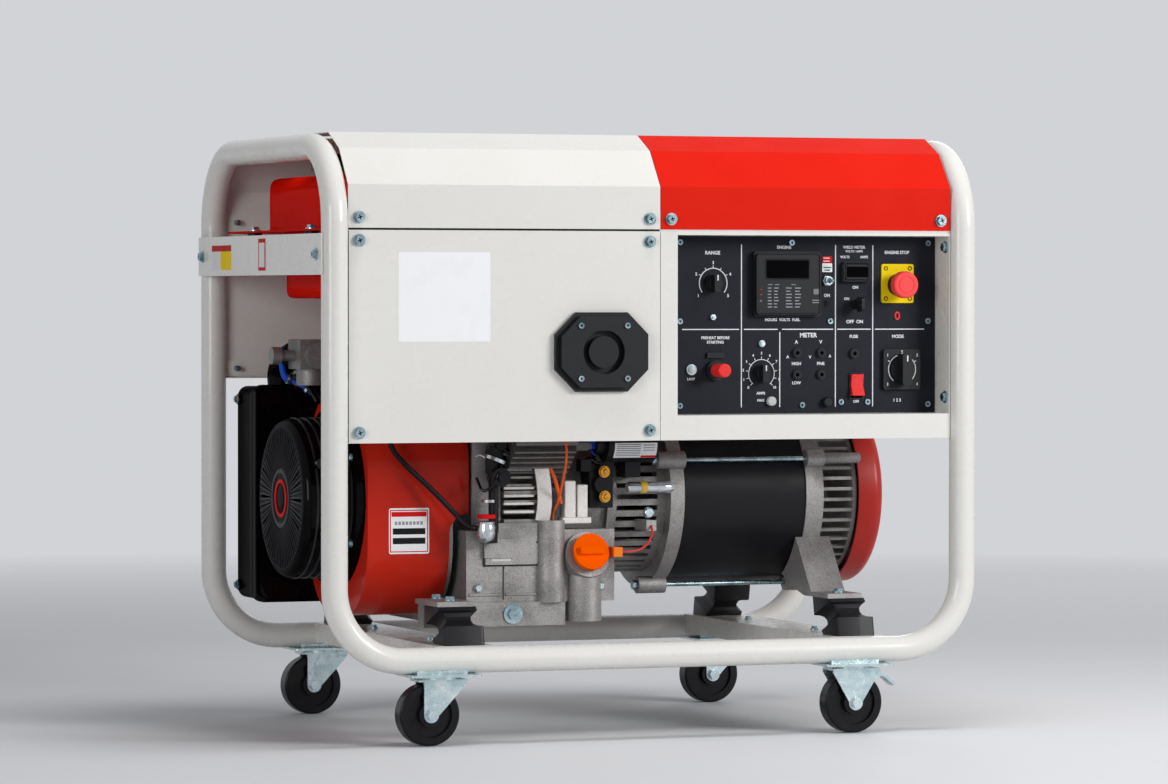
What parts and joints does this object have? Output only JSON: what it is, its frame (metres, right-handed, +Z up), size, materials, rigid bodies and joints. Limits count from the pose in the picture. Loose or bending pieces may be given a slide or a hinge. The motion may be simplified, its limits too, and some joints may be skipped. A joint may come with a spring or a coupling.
{
  "type": "engine driven welder",
  "caption": "Open tubular frame on swivel casters carrying an air-cooled engine, an alternator, a fuel tank and a recessed control panel.",
  "frame": {"origin": "on the floor, under the middle of the tubular frame", "axes": "+X along the length toward the alternator, +Y toward the rear cover, +Z up; the control panel faces -Y"},
  "size_m": [1.0274, 0.676, 0.88],
  "materials": {
    "cream_paint": "gloss powder coat",
    "red_paint": "gloss",
    "deep_red_paint": "gloss",
    "muted_red_paint": "satin",
    "black_paint": "satin",
    "panel_black": "satin",
    "black_plastic": "fine grain",
    "red_plastic": "gloss",
    "yellow_plastic": "satin",
    "orange_plastic": "satin",
    "zinc": "zinc plated",
    "cast_alloy": "as cast",
    "black_rubber": "matt"
  },
  "bodies": {
    "chassis": {"left_hoop": "cream_paint", "right_hoop": "cream_paint", "frame_rails": "cream_paint", "tank_bars": "cream_paint", "white_canopy": "cream_paint", "red_canopy": "red_paint", "front_panel": "cream_paint", "rear_panel": "cream_paint", "control_box": "cream_paint", "control_plate": "panel_black", "cover_bolts": "zinc", "panel_screws": "zinc", "panel_displays": "black_plastic", "panel_collars": "black_plastic", "panel_metal_fittings": "zinc", "estop_plate": "yellow_plastic", "receptacle": "black_plastic", "fuel_tank": "red_paint", "recoil_cover": "black_paint", "blower_housing": "deep_red_paint", "crankcase": "cast_alloy", "cylinders": "cast_alloy", "rocker_covers": "zinc", "hoses_and_leads": "black_rubber", "engine_fittings": "black_paint", "carburettor": "cast_alloy", "air_filter_box": "black_plastic", "air_filter_lid": "black_plastic", "muffler": "zinc", "alternator_adapter": "cast_alloy", "stator": "black_paint", "end_bracket": "cast_alloy", "end_cover": "muted_red_paint", "engine_bolts": "zinc", "mount_feet": "cast_alloy", "rubber_mounts": "black_rubber", "caster_plates": "zinc"},
    "caster_front_left": {"fork_front_left": "zinc"},
    "wheel_front_left": {"wheel_front_left": "black_rubber"},
    "caster_rear_left": {"fork_rear_left": "zinc"},
    "wheel_rear_left": {"wheel_rear_left": "black_rubber"},
    "caster_front_right": {"fork_front_right": "zinc"},
    "wheel_front_right": {"wheel_front_right": "black_rubber"},
    "caster_rear_right": {"fork_rear_right": "zinc"},
    "wheel_rear_right": {"wheel_rear_right": "black_rubber"},
    "brake": {"brake_pedal": "zinc"},
    "range_knob": {"range_knob": "black_plastic"},
    "current_knob": {"current_knob": "black_plastic"},
    "changeover_handle": {"changeover_handle": "black_plastic"},
    "estop_button": {"estop_button": "red_plastic"},
    "start_button": {"start_button": "red_plastic"},
    "rocker_switch": {"rocker_switch": "red_plastic"},
    "toggle_lever": {"toggle_lever": "zinc"},
    "ignition_key": {"ignition_key": "black_plastic"},
    "fuel_cap": {"fuel_cap": "black_plastic"},
    "oil_filler_cap": {"oil_filler_cap": "orange_plastic"},
    "crank_train": {"crankshaft": "zinc", "flywheel": "cast_alloy", "rotor": "zinc"},
    "recoil_handle": {"recoil_handle": "black_plastic"}
  },
  "joints": [
    {"name": "front_left_swivel", "type": "hinge", "parent": "chassis", "child": "caster_front_left", "pos_m": [-0.333, -0.3, 0.095], "axis": [0, 0, 1], "continuous": true},
    {"name": "front_left_roll", "type": "hinge", "parent": "caster_front_left", "child": "wheel_front_left", "pos_m": [-0.351, -0.3, 0.045], "axis": [0, 1, 0], "continuous": true},
    {"name": "rear_left_swivel", "type": "hinge", "parent": "chassis", "child": "caster_rear_left", "pos_m": [-0.317, 0.3, 0.095], "axis": [0, 0, 1], "continuous": true},
    {"name": "rear_left_roll", "type": "hinge", "parent": "caster_rear_left", "child": "wheel_rear_left", "pos_m": [-0.335, 0.3, 0.045], "axis": [0, 1, 0], "continuous": true},
    {"name": "front_right_swivel", "type": "hinge", "parent": "chassis", "child": "caster_front_right", "pos_m": [0.311, -0.3, 0.095], "axis": [0, 0, 1], "continuous": true},
    {"name": "front_right_roll", "type": "hinge", "parent": "caster_front_right", "child": "wheel_front_right", "pos_m": [0.31, -0.3, 0.045], "axis": [0, 1, 0], "continuous": true},
    {"name": "rear_right_swivel", "type": "hinge", "parent": "chassis", "child": "caster_rear_right", "pos_m": [0.345, 0.3, 0.095], "axis": [0, 0, 1], "continuous": true},
    {"name": "rear_right_roll", "type": "hinge", "parent": "caster_rear_right", "child": "wheel_rear_right", "pos_m": [0.327, 0.3, 0.045], "axis": [0, 1, 0], "continuous": true},
    {"name": "brake_hinge", "type": "hinge", "parent": "caster_front_right", "child": "brake", "pos_m": [0.345, -0.3, 0.088], "axis": [0, 1, 0], "range_deg": [0, 18]},
    {"name": "range_knob_turn", "type": "hinge", "parent": "chassis", "child": "range_knob", "pos_m": [0.11, -0.252, 0.663], "axis": [0, -1, 0], "range_deg": [-150, 150]},
    {"name": "current_knob_turn", "type": "hinge", "parent": "chassis", "child": "current_knob", "pos_m": [0.187, -0.252, 0.53], "axis": [0, -1, 0], "range_deg": [-150, 150]},
    {"name": "changeover_turn", "type": "hinge", "parent": "chassis", "child": "changeover_handle", "pos_m": [0.4115, -0.252, 0.535], "axis": [0, -1, 0], "range_deg": [-60, 60]},
    {"name": "estop_push", "type": "slide", "parent": "chassis", "child": "estop_button", "axis": [0, 1, 0], "range_m": [0, 0.005]},
    {"name": "start_push", "type": "slide", "parent": "chassis", "child": "start_button", "axis": [0, 1, 0], "range_m": [0, 0.005], "stiffness_N_per_m": 400, "springref_m": -0.002},
    {"name": "rocker_tip", "type": "hinge", "parent": "chassis", "child": "rocker_switch", "pos_m": [0.3395, -0.252, 0.511], "axis": [1, 0, 0], "range_deg": [0, 18]},
    {"name": "toggle_tip", "type": "hinge", "parent": "chassis", "child": "toggle_lever", "pos_m": [0.2925, -0.256, 0.667], "axis": [1, 0, 0], "range_deg": [-12, 12]},
    {"name": "key_turn", "type": "hinge", "parent": "chassis", "child": "ignition_key", "pos_m": [0.3375, -0.252, 0.632], "axis": [0, -1, 0], "range_deg": [0, 90]},
    {"name": "fuel_cap_turn", "type": "hinge", "parent": "chassis", "child": "fuel_cap", "pos_m": [-0.39, 0, 0.83], "axis": [0, 0, 1], "range_deg": [0, 90]},
    {"name": "oil_cap_turn", "type": "hinge", "parent": "chassis", "child": "oil_filler_cap", "pos_m": [-0.059, -0.189, 0.267], "axis": [0, -0.9397, 0.342], "range_deg": [0, 90]},
    {"name": "crank_turn", "type": "hinge", "parent": "chassis", "child": "crank_train", "pos_m": [0, 0, 0.345], "axis": [1, 0, 0], "continuous": true},
    {"name": "starter_pull", "type": "slide", "parent": "chassis", "child": "recoil_handle", "axis": [0, -1, 0], "range_m": [0, 0.17], "stiffness_N_per_m": 60, "springref_m": -0.02}
  ]
}
